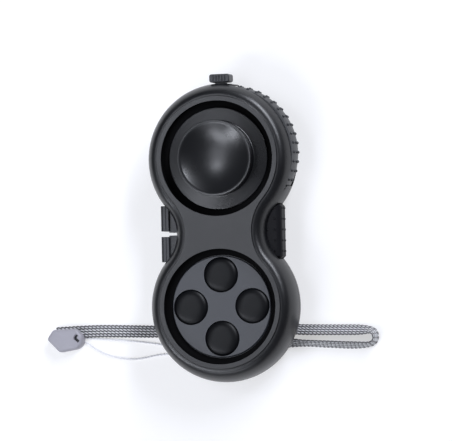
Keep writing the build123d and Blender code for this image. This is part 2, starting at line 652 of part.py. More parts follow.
CRIMP_LOW, CRIMP_SPLIT, CRIMP_HIGH = -39.8, -35.1, -30.4  # the two runs of the strap lie between these


def bend_radii(points, name):
    """Radius at each corner: as large as its two runs allow."""
    corners = [Vector(*p) for p in points]
    radii = []
    for a, b, c in zip(corners, corners[1:], corners[2:]):
        run = min((b - a).length, (c - b).length)
        half_turn = math.radians((b - a).get_angle(c - b)) / 2
        radii.append(0.45 * run / math.tan(half_turn))
    print(name, "bend radii", [round(r, 1) for r in radii])
    return radii


def cord(points, section, name):
    """Section carried along straight runs joined by tangent arcs."""
    path = FilletPolyline(*points, radius=bend_radii(points, name))
    start = Plane(origin=path @ 0, z_dir=path % 0, x_dir=(path % 0).cross(Vector(0, 0, 1)))
    tube = sweep(start * section, path=path)
    print(name, "length", round(path.length, 1), "volume", round(tube.volume, 1),
          "section times length", round(section.area * path.length, 1))
    return tube


def wrist_strap():
    points = [(x, y, STRAP_Z) for x, y in STRAP_ROUTE]
    return cord(points, Rectangle(STRAP_W, STRAP_T), "strap")


def lanyard_clip():
    """Soft clip that holds the strings and the start of the strap, with a slot in its top."""
    clip = extrude(polygon(*CLIP_OUTLINE), CLIP_H)
    clip = chamfer(clip.edges().group_by(Axis.Z)[-1], 0.7)
    clip -= block(-54.2, -52.8, -36.8, -35.2, CLIP_H - 1.6, CLIP_H + 1)
    x0, y0 = STRAP_ROUTE[0][0] - STRAP_ROOM, STRAP_ROUTE[0][1] - STRAP_W / 2 - STRAP_ROOM
    return clip - block(x0, 0, y0, 0, 0, STRAP_T + STRAP_ROOM)


def strap_crimp():
    """Sleeve that closes the wrist loop, behind the pad."""
    x0, x1 = CRIMP_X, CRIMP_X + CRIMP_L
    sleeve = block(x0, x1, CRIMP_LOW - CRIMP_WALL, CRIMP_HIGH + CRIMP_WALL, 0, CRIMP_H)
    room = block(x0 - 1, x1 + 1, CRIMP_SPLIT, CRIMP_HIGH, -1, STRAP_T + STRAP_ROOM)
    room += block(x0 + 1, x1 + 1, CRIMP_LOW, CRIMP_SPLIT, -1, STRAP_T + STRAP_ROOM)
    return sleeve - room


def save(name, shape):
    export_step(shape, f"parts/{name}.step")


def main():
    os.makedirs("parts", exist_ok=True)
    outer, inner = pebble(0, EDGE_STEP), pebble(WALL)
    save("front_shell", front_shell(outer, inner))
    save("rear_shell", rear_shell(outer, inner))
    save("joystick", joystick())
    save("joystick_retainer", joystick_retainer())
    save("joystick_screw", screw(UPPER, RETAINER_LOW, RETAINER_T + 3.4))
    save("cross_slide", cross_slide())
    height = (SLIDE_LOW + SLIDE_HIGH) / 2
    save("x_centring_springs", spring_pair(SLIDE_X, STOP_X, True, height, UPPER))
    save("y_centring_springs", spring_pair(STEM / 2, SLOT_Y, False, height, UPPER))
    save("gear_wheel", gear_wheel())
    save("gear_keeper", gear_keeper())
    save("keeper_screws", keeper_screws())
    save("click_spring", click_spring())
    save("spin_dial", spin_dial())
    save("dial_clip", dial_clip())
    save("button_plate", button_plate())
    for place, angle in BUTTONS.items():
        save(f"button_{place}", button(angle))
        save(f"dome_{place}", button_dome(angle))
    save("button_membrane", button_membrane())
    save("membrane_tray", membrane_tray())
    save("tray_screws", tray_screws())
    for name, side in (("upper", 1), ("lower", -1)):
        save(f"trigger_{name}", trigger(side))
        save(f"trigger_spring_{name}", trigger_spring(side))
    save("trigger_pins", trigger_pins())
    save("massage_panel", massage_panel())
    save("slider_rail", slider_rail())
    save("slider_knob", slider_knob())
    save("case_screws", case_screws())
    save("lanyard_bar", lanyard_bar())
    save("string_hitch", string_hitch())
    string = Circle(STRING_D / 2)
    place = Pos(0, LANYARD_Y - ROUTE_Y, 0)
    save("string_strand_upper", place * cord(UPPER_STRAND, string, "upper strand"))
    save("string_strand_lower", place * cord(LOWER_STRAND, string, "lower strand"))
    save("wrist_strap", place * wrist_strap())
    save("strap_crimp", place * strap_crimp())
    save("lanyard_clip", place * lanyard_clip())


main()
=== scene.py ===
# %% [markdown]
# # A pocket fidget pad on a wrist strap
# The pad is two round lobes joined by a waist, about 101 mm long. The upper lobe has a thumb stick, a
# knurled wheel in its side and a dial at the back. The lower lobe has four buttons. Two triggers and a
# dotted soft panel sit in the waist, a small slider on top, and a wrist strap hangs from the rear on a
# loop of string. The engineering model is loaded first and never moved. Everything below dresses it:
# better surfaces where the plain solids are too plain, and a material made of shader nodes for each
# finish.

import json
import math

import bpy
import numpy as np
from mathutils import Matrix, Vector


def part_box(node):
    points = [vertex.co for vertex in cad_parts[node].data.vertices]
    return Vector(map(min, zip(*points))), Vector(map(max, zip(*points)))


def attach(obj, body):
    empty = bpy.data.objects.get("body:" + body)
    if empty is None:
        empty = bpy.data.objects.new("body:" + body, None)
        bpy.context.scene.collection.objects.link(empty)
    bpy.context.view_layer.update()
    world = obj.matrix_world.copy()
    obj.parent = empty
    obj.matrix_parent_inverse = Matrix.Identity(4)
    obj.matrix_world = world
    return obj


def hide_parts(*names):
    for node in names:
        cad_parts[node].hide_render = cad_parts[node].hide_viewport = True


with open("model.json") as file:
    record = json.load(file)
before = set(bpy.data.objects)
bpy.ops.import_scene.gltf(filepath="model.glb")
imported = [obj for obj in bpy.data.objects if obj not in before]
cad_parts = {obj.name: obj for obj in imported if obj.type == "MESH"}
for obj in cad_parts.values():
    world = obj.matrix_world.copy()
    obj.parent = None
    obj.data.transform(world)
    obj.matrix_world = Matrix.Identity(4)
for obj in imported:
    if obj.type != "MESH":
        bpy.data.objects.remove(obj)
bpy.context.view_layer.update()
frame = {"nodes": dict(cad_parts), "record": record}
nodes = frame["nodes"]

# %% [markdown]
# ## Sizes that every step shares
# Shapes are written in millimetres, as a maker would say them, and turned to metres when a mesh is made.
# Places come from the boxes of the engineering pieces, so the new surfaces land where the solids are.

# %% Sizes and places
MM = 0.001


def box_mm(node):
    """Lowest and highest corner of an engineering piece, in millimetres."""
    return [np.array(corner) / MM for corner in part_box(node)]


def middle(node):
    """Middle of that box."""
    low, high = box_mm(node)
    return (low + high) / 2


FACE = box_mm("front_shell")[1][2]  # height of the flat front face
LOWER = middle("button_plate")[:2]
UPPER = middle("dial_clip")[:2]
RECESS_R = 19.6  # just outside the walls of the two round recesses in the face
WAIST_Y = (LOWER[1] + UPPER[1]) / 2
print("front face at", round(FACE, 2), "lobes at", UPPER.round(2), LOWER.round(2))

# %% [markdown]
# ## The camera
# The pad is looked at almost straight down on its face, from a little to the right, with a long lens, so
# that near and far parts keep nearly the same scale. The view is built from three arrows: forward, right
# and up. The lens follows from the width of the field and the distance, because sensor / lens = field /
# distance.

# %% Camera
CAMERA_SIDE, CAMERA_DOWN, CAMERA_ROLL = (math.radians(a) for a in (15.5, 1.5, 1.3))
CAMERA_DISTANCE = 1.6
FIELD_WIDTH = 0.1522  # what the picture spans at the pad, in metres
AIM_RIGHT, AIM_UP = 0.00276, 0.00397  # from the middle of the waist to the middle of the picture
SENSOR = 36.0

forward = -Vector((math.sin(CAMERA_SIDE), -math.sin(CAMERA_DOWN), math.cos(CAMERA_SIDE))).normalized()
level_right = forward.cross(Vector((0, 1, 0))).normalized()
level_up = level_right.cross(forward)
up = level_up * math.cos(CAMERA_ROLL) + level_right * math.sin(CAMERA_ROLL)
right = forward.cross(up)
aim = Vector((0, WAIST_Y * MM, FACE * MM)) + AIM_RIGHT * right + AIM_UP * up

camera = bpy.data.objects.new("camera", bpy.data.cameras.new("camera"))
camera.data.sensor_width = SENSOR
camera.data.lens = SENSOR * CAMERA_DISTANCE / FIELD_WIDTH
camera.data.clip_start, camera.data.clip_end = 0.05, 20
turn = Matrix((right, up, -forward)).transposed().to_4x4()
camera.matrix_world = Matrix.Translation(aim - CAMERA_DISTANCE * forward) @ turn
bpy.context.scene.collection.objects.link(camera)
bpy.context.scene.camera = camera
print("lens", round(camera.data.lens, 1), "mm, camera at", [round(x, 3) for x in camera.location])

# %% [markdown]
# ## Surfaces as arrays
# A surface is a stack of rings: each ring has the same number of points, and neighbouring rings are
# joined by four-sided faces. A turned cap, a string and a rounded block are all stacks of rings, so one
# function makes the faces for every piece. Both ends are closed by a fan round a pole, so each piece is
# watertight. The volume enclosed by the faces tells which way they point: if it comes out negative, they
# are turned round.

# %% Rings to faces
def skin(rings, along=None):
    """Closed surface through rings of points, an array of (rings, points round, xyz).
    Faces join ring i to ring i + 1, and the mean point of the first and of the last ring closes its end.
    along is the distance of each ring. It becomes the first texture coordinate, and the second runs once
    round."""
    rings = np.asarray(rings, float)
    count, around = rings.shape[:2]
    along = np.arange(count, dtype=float) if along is None else np.asarray(along, float)
    points = np.vstack([rings.reshape(-1, 3), rings[0].mean(0), rings[-1].mean(0)])
    row, col = np.meshgrid(np.arange(count - 1), np.arange(around), indexing="ij")
    here, there = row * around + col, row * around + (col + 1) % around
    quads = np.stack([here, there, there + around, here + around], -1).reshape(-1, 4)
    quad_uv = np.stack([
        np.stack([along[row], along[row], along[row + 1], along[row + 1]], -1),
        np.stack([col, col + 1, col + 1, col], -1) / around,
    ], -1).reshape(-1, 4, 2)
    a = np.arange(around)
    b = (a + 1) % around
    first, last = np.full(around, count * around), np.full(around, count * around + 1)
    top = (count - 1) * around
    fans = np.vstack([np.stack([first, b, a], -1), np.stack([last, top + a, top + b], -1)])
    sides = np.stack([a + 0.5, a + 1.0, a + 0.0], -1) / around
    fan_uv = np.stack([
        np.repeat([along[0], along[-1]], around)[:, None].repeat(3, 1),
        np.vstack([sides, sides[:, [0, 2, 1]]]),
    ], -1)
    corners = points[np.vstack([quads[:, :3], quads[:, [0, 2, 3]], fans])]
    volume = np.einsum("ij,ij->i", corners[:, 0], np.cross(corners[:, 1], corners[:, 2])).sum()
    if volume < 0:
        quads, quad_uv, fans, fan_uv = quads[:, ::-1], quad_uv[:, ::-1], fans[:, ::-1], fan_uv[:, ::-1]
    return points, quads, fans, quad_uv, fan_uv


def piece(name, body, skins, sharp=35.0):
    """One mesh object, in metres, from one or several skins, riding on a body. Edges over sharp degrees stay
    crisp. A skin may end with one more list, a number for each point, which becomes the attribute "lift"."""
    start, points, faces, uvs, highs = 0, [], [], [], []
    for p, quads, fans, quad_uv, fan_uv, *high in skins:
        highs += high
        points.append(p)
        faces += (quads + start).tolist() + (fans + start).tolist()
        uvs += [quad_uv.reshape(-1, 2), fan_uv.reshape(-1, 2)]
        start += len(p)
    mesh = bpy.data.meshes.new(name)
    mesh.from_pydata((np.vstack(points) * MM).tolist(), [], faces)
    mesh.uv_layers.new(name="along_and_round").data.foreach_set("uv", np.vstack(uvs).ravel())
    if highs:
        mesh.attributes.new("lift", "FLOAT", "POINT").data.foreach_set("value", np.concatenate(highs))
    mesh.shade_smooth()
    mesh.set_sharp_from_angle(angle=math.radians(sharp))
    made = bpy.data.objects.new(name, mesh)
    bpy.context.scene.collection.objects.link(made)
    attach(made, body)
    print(name, len(mesh.polygons), "faces")
    return made


# %% [markdown]
# ## Profiles
# A moulded edge is never sharp. `rounded` takes the corners of a profile, each with how far back its
# rounding starts, and puts a short parabola there. A point just beyond each rounding keeps the flat
# beside it flat when it is shaded smooth. `revolve` turns a profile about an upright axis.

# %% Rounded profiles and turned surfaces
GUARD = 0.12  # how far past a rounding its extra point lies, in millimetres


def rounded(corners, steps=6):
    """Points of an open profile of (x, y, reach) corners. Within reach of a corner p, the line from a to c
    follows the parabola (1-t)^2 a + 2t(1-t) p + t^2 c, with t from 0 to 1."""
    corners = np.asarray(corners, float)
    t = np.linspace(0, 1, steps + 1)[:, None]
    out = [corners[:1, :2]]
    for before, here, after in zip(corners, corners[1:], corners[2:]):
        p, reach = here[:2], here[2]
        if not reach:
            out.append(p[None])
            continue
        back, on = before[:2] - p, after[:2] - p
        back, on = back / np.linalg.norm(back), on / np.linalg.norm(on)
        a, c = p + back * reach, p + on * reach
        arc = (1 - t) ** 2 * a + 2 * t * (1 - t) * p + t**2 * c
        out.append(np.vstack([a + back * GUARD, arc, c + on * GUARD]))
    out.append(corners[-1:, :2])
    return np.vstack(out)


def revolve(profile, centre, turns=96):
    """Rings of a profile of (radius, height) round an upright axis: x = r cos a, y = r sin a, z = height."""
    angle = np.linspace(0, 2 * math.pi, turns, endpoint=False)
    r, z = profile[:, 0, None], profile[:, 1, None]
    return np.stack([centre[0] + r * np.cos(angle), centre[1] + r * np.sin(angle), z + 0 * angle], -1)


# %% [markdown]
# ## Cord lines
# A string or strap lies in one smooth curve. A NURBS spline through listed control points gives it:
# the curve passes near each point and never kinks. Blender works the curve out, and the points that it
# gives back are what the tubes and the braid follow.

# %% Smooth lines from a NURBS spline
STRING_Z, STRAP_Z = 0.0004, 0.0007  # height of each line where it lies flat on the table
UPPER_STRAND = [
    (-0.0013, -0.0425, 0.0009), (-0.004, -0.0425, STRING_Z), (-0.011, -0.0425, STRING_Z),
    (-0.018, -0.0409, STRING_Z), (-0.026, -0.0388, STRING_Z), (-0.036, -0.0375, STRING_Z),
    (-0.046, -0.0366, STRING_Z), (-0.0537, -0.0361, STRING_Z),
]
LOWER_STRAND = [
    (-0.0013, -0.0435, 0.0009), (-0.004, -0.0436, STRING_Z), (-0.0105, -0.0435, STRING_Z),
    (-0.018, -0.0423, STRING_Z), (-0.0265, -0.0421, STRING_Z), (-0.0355, -0.0441, STRING_Z),
    (-0.0443, -0.0426, STRING_Z), (-0.0495, -0.0401, STRING_Z), (-0.0537, -0.0372, STRING_Z),
]
STRAP_ROUTE = [
    (-0.0635, -0.0343, STRAP_Z), (-0.052, -0.0337, STRAP_Z), (-0.038, -0.0341, STRAP_Z),
    (-0.025, -0.0346, STRAP_Z), (-0.013, -0.0331, STRAP_Z), (0.004, -0.0327, 0.0009),
    (0.020, -0.0348, 0.0017), (0.034, -0.0352, 0.0018), (0.0445, -0.0354, 0.0020),
    (0.0497, -0.0357, 0.0026), (0.0497, -0.0402, 0.0026), (0.0435, -0.0407, 0.0024),
    (0.031, -0.0399, 0.0023), (0.023, -0.0394, 0.0022), (0.016, -0.0390, 0.0014),
    (0.007, -0.0375, STRAP_Z), (-0.002, -0.0374, STRAP_Z), (-0.009, -0.03735, STRAP_Z),
]


def smooth_line(name, points, resolution=24):
    """Points in millimetres along the NURBS spline of order 3 with these control points, in metres."""
    curve = bpy.data.curves.new(name, "CURVE")
    curve.dimensions = "3D"
    curve.resolution_u = resolution
    spline = curve.splines.new("NURBS")
    spline.points.add(len(points) - 1)
    for spot, point in zip(spline.points, points):
        spot.co = (*point, 1)
    spline.order_u = 3
    spline.use_endpoint_u = True
    line = bpy.data.objects.new(name, curve)
    bpy.context.scene.collection.objects.link(line)
    mesh = bpy.data.meshes.new_from_object(line)
    flat = np.zeros(3 * len(mesh.vertices))
    mesh.vertices.foreach_get("co", flat)
    bpy.data.objects.remove(line)
    bpy.data.curves.remove(curve)
    bpy.data.meshes.remove(mesh)
    return flat.reshape(-1, 3) / MM


def evenly(line, step):
    """The same line with points every step: each coordinate read off against the distance run so far."""
    run = np.concatenate([[0], np.cumsum(np.linalg.norm(np.diff(line, axis=0), axis=1))])
    s = np.linspace(0, run[-1], int(run[-1] / step) + 1)
    return s, np.stack([np.interp(s, run, line[:, k]) for k in range(3)], -1)


def unit(v):
    """The same arrows with length 1."""
    return v / np.linalg.norm(v, axis=-1, keepdims=True)


def tube(line, along, half_wide, half_thick, upward, around=8):
    """Rings of an ellipse carried along a line: centre + side * w cos a + over * h sin a, with both arrows
    square to the line's direction."""
    direction = unit(np.gradient(line, axis=0))
    side = unit(np.cross(direction, upward))
    over = np.cross(side, direction)
    angle = np.linspace(0, 2 * math.pi, around, endpoint=False)[None, :, None]
    sideways, outwards = half_wide * np.cos(angle), half_thick * np.sin(angle)
    return skin(line[:, None] + sideways * side[:, None] + outwards * over[:, None], along)


# %% [markdown]
# ## The string loop
# The loop is a thin white twisted cord. A real twisted cord is two or three yarns wound round each other,
# so each strand here is two yarns on a double helix round the smooth line. The grooves between them catch
# shadow, which a single smooth tube could not do.

# %% Twisted string
STRING_D = 0.8
PLIES = 2
PLY_SHIFT = 0.17  # from the middle of the string to the middle of a yarn
PLY_HALF = 0.19  # half a yarn's thickness
TWIST_PITCH = 2.2  # length of one full turn
TURN_STEPS, PLY_SIDES = 14, 7


def twisted(line):
    """Yarns round a line: yarn k sits at line + shift * (side cos a + over sin a), and its angle grows along
    the line, a = 2 pi (s / pitch + k / plies)."""
    s, line = evenly(line, TWIST_PITCH / TURN_STEPS)
    direction = unit(np.gradient(line, axis=0))
    side = unit(np.cross(direction, [0, 0, 1]))
    over = np.cross(side, direction)
    made = []
    for k in range(PLIES):
        a = 2 * math.pi * (s / TWIST_PITCH + k / PLIES)[:, None]
        outward = side * np.cos(a) + over * np.sin(a)
        made.append(tube(line + PLY_SHIFT * outward, s, PLY_HALF, PLY_HALF, outward, PLY_SIDES))
    return made


strand_lines = {
    "string_upper": smooth_line("upper_line", UPPER_STRAND),
    "string_lower": smooth_line("lower_line", LOWER_STRAND),
}
strands = {name: piece(name, "root", twisted(line)) for name, line in strand_lines.items()}
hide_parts("string_strand_upper")
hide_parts("string_strand_lower")

# %% [markdown]
# The loop is hitched on the bar at the back of the pad: a little over two turns of the same twisted cord.
# It is one line, a helix round the bar, given the same two yarns.

# %% Hitch on the bar
BAR = middle("string_hitch")
BAR_R, HITCH_GAP = 0.6, 0.02
HITCH_R = BAR_R + HITCH_GAP + STRING_D / 2
HITCH_TURNS, HITCH_POINTS = 2.25, 160
HITCH_LONG = 1.0664  # how far the turns run along the bar

turn_angle = np.linspace(0, 2 * math.pi * HITCH_TURNS, HITCH_POINTS)
hitch_line = np.stack([
    BAR[0] + HITCH_R * np.cos(turn_angle),
    BAR[1] + HITCH_LONG * (turn_angle / turn_angle[-1] - 0.5),
    BAR[2] + HITCH_R * np.sin(turn_angle),
], -1)
hitch = piece("string_knot", "root", twisted(hitch_line))
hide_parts("string_hitch")

# %% [markdown]
# ## The braided wrist strap
# The strap is a flat braid. Each yarn runs to and fro between the strap's two edges while it moves along,
# and passes over two crossing yarns and under the next two, which gives long slanting stitches in
# columns. Both motions are simple waves: a triangle wave sideways, and a cosine up and down that takes
# four crossings to come round. All the yarns are on the same two waves and only start at different
# places, as on a braiding machine. Each point of a yarn also keeps how high it rides, so that the
# material can paint shade on what lies underneath, in place of the shadow of the yarns that cross it.
# Near the bend the strap turns on its edge, which is one angle that changes along the line.

# %% Flat braid
STRAP_W = 4.4
YARNS = 17
YARN_STEP, YARN_SIDES = 0.26, 6  # rings along a yarn are this far apart and have this many points
YARN_REPEAT = 23.5  # length over which a yarn crosses the strap and comes back
YARN_WIDE, YARN_THICK = 0.46, 0.32
LIFT = 0.15  # how far a yarn rises over its neighbours
PROUD = 0.1  # how much further the yarns on one slant stand out than those that cross them
LEAN_AT = [0, 80, 97, 109, 114, 118, 122, 134, 142, 148, 153, 175]  # distances along the strap
LEAN = [0, 30, 33, 34, 80, 72, 55, 56, 60, 30, 0, 0]  # degrees that it leans towards its edge at each of them
LEAN_SMOOTH = 12  # how many rings to either side are averaged, so that the lean changes softly


def braid(line):
    """Interlaced yarns along a line. Yarn i is at u = s / repeat + i / yarns of its way, and sideways it
    follows the triangle wave |2 (u mod 1) - 1|. At crossing n from one edge it rises by a share of
    cos(pi (n - 1/2) / 2), over for two crossings and under for two, and on its way back it does the opposite.
    The wave fades out at both edges."""
    s, line = evenly(line, YARN_STEP)
    direction = unit(np.gradient(line, axis=0))
    flat_side = unit(np.cross(direction, [0, 0, 1]))
    flat_up = np.cross(flat_side, direction)
    lean = np.pad(np.radians(np.interp(s, LEAN_AT, LEAN)), LEAN_SMOOTH, mode="edge")
    window = 2 * LEAN_SMOOTH + 1
    lean = np.convolve(lean, np.ones(window) / window, mode="valid")[:, None]
    side = flat_side * np.cos(lean) + flat_up * np.sin(lean)
    over = np.cross(side, direction)
    made = []
    for i in range(YARNS):
        u = (s / YARN_REPEAT + i / YARNS) % 1
        across = (STRAP_W - YARN_WIDE) / 2 * (2 * np.abs(2 * u - 1) - 1)
        n = YARNS * (1 - np.abs(2 * u - 1))
        fade = np.clip(np.minimum(n, YARNS - n), 0, 1)
        wave = np.sign(0.5 - u) * np.cos(math.pi * (n - 0.5) / 2) * fade
        rise = LIFT * wave + PROUD * np.sin(-2 * math.pi * u)
        yarn = line + side * across[:, None] + over * rise[:, None]
        # how high the yarn rides, from 0 to 1: the material paints shade where it is low
        high = (rise / (LIFT + PROUD) + 1) / 2
        surface = tube(yarn, s, YARN_WIDE / 2, YARN_THICK / 2, over, YARN_SIDES)
        made.append((*surface, np.append(np.repeat(high, YARN_SIDES), high[[0, -1]])))
    return made


strap_line = smooth_line("strap_line", STRAP_ROUTE)
strap = piece("strap_braid", "root", braid(strap_line))
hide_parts("wrist_strap")
strap_run = evenly(strap_line, 1.0)[0][-1]
print("strap", round(strap_run, 1), "mm long")

# %% [markdown]
# ## The lanyard clip
# String and strap meet in a small clip of soft grey plastic, a lopsided hexagon with one corner taken
# off, soft edges and a crowned top. The outline is pulled in step by step while the height follows a
# quarter circle, which gives one continuous soft edge. A slot is then cut into the top, by a boolean,
# because its outline has nothing in common with the clip's. Down in the slot lies a dark plug, painted
# shade that stands in for the shadow deep in the slot.

# %% Clip
CLIP_OUTLINE = [
    (-66.2, -36.3), (-64.0, -33.0), (-55.6, -32.9), (-53.3, -35.6), (-53.6, -38.2), (-55.3, -39.8),
    (-61.7, -40.9),
]
CORNER_REACH = 0.95
EDGE_TOP, EDGE_UNDER, CROWN_RISE = 1.0, 0.3, 0.25


def closed_outline(corners, reach, steps=5):
    """Closed outline with every corner rounded, by rounding the corner list with its ends repeated."""
    corners = np.array([(*c, reach) for c in corners])
    ring = rounded(np.vstack([corners[-1:], corners, corners[:1]]), steps)
    return ring[1:-1]


UNDER_SHARES = (0.1, 0.4, 0.75)  # rings under the block, as shares of the way out from its middle
TOP_SHARES = (0.9, 0.7, 0.5, 0.3, 0.1)


def pillow(outline, low, high, top_round, bottom_round, crown, steps=8):
    """Rounded block on a closed outline. The edge follows a quarter circle, inset = r (1 - sin t) and
    height = top - r (1 - cos t), and the top rises by crown towards its middle as 1 - k^2, where k is the
    share of the way out from the middle."""
    centre = outline.mean(0)
    ahead, behind = np.roll(outline, -1, 0), np.roll(outline, 1, 0)
    along = unit(ahead - behind)
    inward = np.stack([-along[:, 1], along[:, 0]], -1)
    inward *= np.sign(((centre - outline) * inward).sum(1).mean())
    t = np.linspace(0, math.pi / 2, steps)
    inset = np.concatenate([bottom_round * (1 - np.sin(t)), top_round * (1 - np.sin(t[::-1]))])
    z = np.concatenate([low + bottom_round * (1 - np.cos(t)), high - top_round * (1 - np.cos(t[::-1]))])
    rings = [np.column_stack([outline + inward * d, np.full(len(outline), h)]) for d, h in zip(inset, z)]
    rim, floor_rim = outline + inward * top_round, outline + inward * bottom_round
    level = np.ones(len(outline))
    below = [np.column_stack([centre + (floor_rim - centre) * k, low * level]) for k in UNDER_SHARES]
    above = [np.column_stack([centre + (rim - centre) * k, (high + crown * (1 - k**2)) * level])
             for k in TOP_SHARES]
    return np.array(below + rings + above)


clip_low, clip_high = box_mm("lanyard_clip")
clip_block = pillow(closed_outline(CLIP_OUTLINE, CORNER_REACH), clip_low[2], clip_high[2] - CROWN_RISE,
                    EDGE_TOP, EDGE_UNDER, CROWN_RISE)
clip = piece("lanyard_clip_shell", "root", [skin(clip_block)])
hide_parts("lanyard_clip")


def prism(ring, low, high):
    """Upright walls on a closed outline: the same ring at two heights."""
    return skin(np.array([np.column_stack([ring, np.full(len(ring), h)]) for h in (low, high)]))


def cut(target, ring, low, high):
    """Cuts an upright prism out of a piece. The boolean's result becomes the piece's own mesh at once."""
    tool = piece(target.name + "_cutter", "root", [prism(ring, low, high)])
    step = target.modifiers.new("slot", "BOOLEAN")
    step.operation, step.object, step.solver = "DIFFERENCE", tool, "FAST"
    dg = bpy.context.evaluated_depsgraph_get()
    result = bpy.data.meshes.new_from_object(target.evaluated_get(dg))
    target.modifiers.clear()
    target.data = result
    bpy.data.objects.remove(tool)


SLOT = np.array([
    (-56.4, -35.8), (-55.6, -34.7), (-54.9, -35.1), (-55.3, -36.0), (-54.3, -36.9), (-54.9, -37.7),
    (-56.4, -36.5),
])
SLOT_DEEP, SHADE_PLUG_DEEP = 2.0, 1.3  # floor of the slot and top of the dark plug of painted shade, below the top of the clip
SHADE_PLUG_MARGIN = 1.04  # the plug is this much larger than the slot, so that it meets the slot's walls
CUT_SPARE = 1.0  # how far the cutter stands out above the clip
cut(clip, SLOT, clip_high[2] - SLOT_DEEP, clip_high[2] + CUT_SPARE)

# painted shade: a dark plug down in the slot stands in for the shadow there
shade_plug_ring = SLOT.mean(0) + SHADE_PLUG_MARGIN * (SLOT - SLOT.mean(0))
slot_shade_plug = piece("clip_slot_shade_plug", "root", [prism(shade_plug_ring, clip_high[2] - SLOT_DEEP, clip_high[2] - SHADE_PLUG_DEEP)])

# %% [markdown]
# ## Real lengths
# The cords' lengths are the sums of the steps along their lines. The strap runs from the clip to the
# crimp behind the pad that closes its loop, and its length is printed with the braid; each strand of
# string runs from the bar to the clip, and their lengths are printed here.


def length_of(line):
    """Length in metres: the sum of the steps from point to point."""
    return float(np.linalg.norm(np.diff(line, axis=0), axis=1).sum()) * MM


print("strands", [round(length_of(line) / MM, 1) for line in strand_lines.values()], "mm")

# %% [markdown]
# ## The thumb stick
# The stick is a mushroom cap with a dished top, moulded in one piece with a wide conical skirt that hides
# the slot it glides in. It is a turned shape, so one profile describes it: a piece of a large circle for
# the dish, a soft lip, a hollow under the lip and a fillet that runs out into the skirt. The square stem
# below keeps it from turning.

# %% Thumb stick
POLE = 0.02  # radius at which a turned profile starts and ends, so that its last ring isn't a point
CAP_R, CAP_RISE = 12.9, 3.0
LIP_W = 0.9  # width of the lip round the dish
LIP_LOW, LIP_HIGH = -0.06, 0.12  # its inner and outer edge, from the height of the cap
CAP_UNDERCUT = 0.35  # how far the foot of the cap's side lies inside its rim
DISH_DEPTH, DISH_RINGS = 3.0, 30
SKIRT_R, SKIRT_T = 17.2, 0.6
SKIRT_DEPTH, SKIRT_FALL = 2.4, 0.9  # its edge below the face, and from its root down to its edge
SKIRT_RIM = 1.2  # flat underside of the skirt's edge
CORE_IN = 1.7  # wall of the hollow under the cap, in from the cap's rim
CORE_TOP, CORE_LOW = 0.9, -1.7  # roof of that hollow, at its wall and in the middle
STEM, STEM_ROUND, STEM_TOP = 6.0, 0.4, -1.0

dish_r = CAP_R - LIP_W
bowl = (dish_r**2 + DISH_DEPTH**2) / (2 * DISH_DEPTH)
r = np.linspace(POLE, dish_r, DISH_RINGS)
dish = np.column_stack([r, bowl - np.sqrt(bowl**2 - r**2) + CAP_RISE - DISH_DEPTH])
skirt_low = -SKIRT_DEPTH - SKIRT_T
lip_and_skirt = rounded([
    (dish_r, CAP_RISE + LIP_LOW, 0),
    (CAP_R, CAP_RISE + LIP_HIGH, 0.4),
    (CAP_R - CAP_UNDERCUT, SKIRT_FALL - SKIRT_DEPTH - 0.1, 0.5),
    (SKIRT_R, -SKIRT_DEPTH, 0.22),
    (SKIRT_R, skirt_low, 0.15),
    (SKIRT_R - SKIRT_RIM, skirt_low, 0),
    (CAP_R - CORE_IN, skirt_low + 0.4, 0.3),
    (CAP_R - CORE_IN, CORE_TOP, 0.3),
    (POLE, CORE_LOW, 0),
])
stick_profile = np.vstack([dish, lip_and_skirt[1:]]) + [0, FACE]
square = np.array([(-1, -1), (1, -1), (1, 1), (-1, 1)]) * STEM / 2
stem_ring = closed_outline(square, STEM_ROUND) + UPPER
stem = prism(stem_ring, box_mm("joystick")[0][2], FACE + STEM_TOP)
stick = piece("thumb_stick", "joystick", [skin(revolve(stick_profile, UPPER, 160)), stem], sharp=60)
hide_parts("joystick")

# %% [markdown]
# ## Four buttons
# The buttons are alike, so one profile serves for all four. Its top is nearly flat and rolls over at the
# edge, which a superellipse draws well. A flange under the plate keeps the button in, and a foot rests on
# the dome.

# %% Buttons
BUTTON_R, BUTTON_ROLL, BUTTON_POWER = 5.85, 1.6, 4.33
FLANGE_R, FLANGE_T, FOOT_R = 6.9, 0.8, 1.8
PLATE_UNDER, FLANGE_GAP = 4.9, 0.1  # underside of the button plate below the face, and the gap under it


def button_profile(low, top):
    """Profile of one button. Its top is the superellipse (r / R)^n + (1 - drop / D)^2 = 1, drawn by an angle
    a as r = R sin(a)^(2/n) and drop = D (1 - cos a). The flange and the foot follow."""
    a = np.linspace(0.01, math.pi / 2, 22)
    dome = np.column_stack([BUTTON_R * np.sin(a) ** (2 / BUTTON_POWER), top - BUTTON_ROLL * (1 - np.cos(a))])
    flange = FACE - PLATE_UNDER - FLANGE_GAP
    below = rounded([
        (BUTTON_R, top - BUTTON_ROLL, 0),
        (BUTTON_R, flange, 0),
        (FLANGE_R, flange, 0.15),
        (FLANGE_R, flange - FLANGE_T, 0.15),
        (FOOT_R, flange - FLANGE_T, 0.1),
        (FOOT_R, low, 0.1),
        (POLE, low, 0),
    ])
    return np.vstack([dome, below[1:]])


buttons = {}
for place in ("top", "right", "bottom", "left"):
    node = f"button_{place}"
    low, high = box_mm(node)
    rings = revolve(button_profile(low[2], high[2]), middle(node), 72)
    buttons[place] = piece(f"button_cap_{place}", node, [skin(rings)], sharp=50)
    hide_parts(node)

# %% [markdown]
# ## The knurled wheel
# The wheel's rim carries three rows of small bumps, moulded with it, which give the thumb its grip. Each
# bump is a low dome, and has only a few faces, because there are more than a hundred. They start below
# the rim's surface, so nothing floats. The rim is crowned: it falls away towards its edges as the square
# of the height.

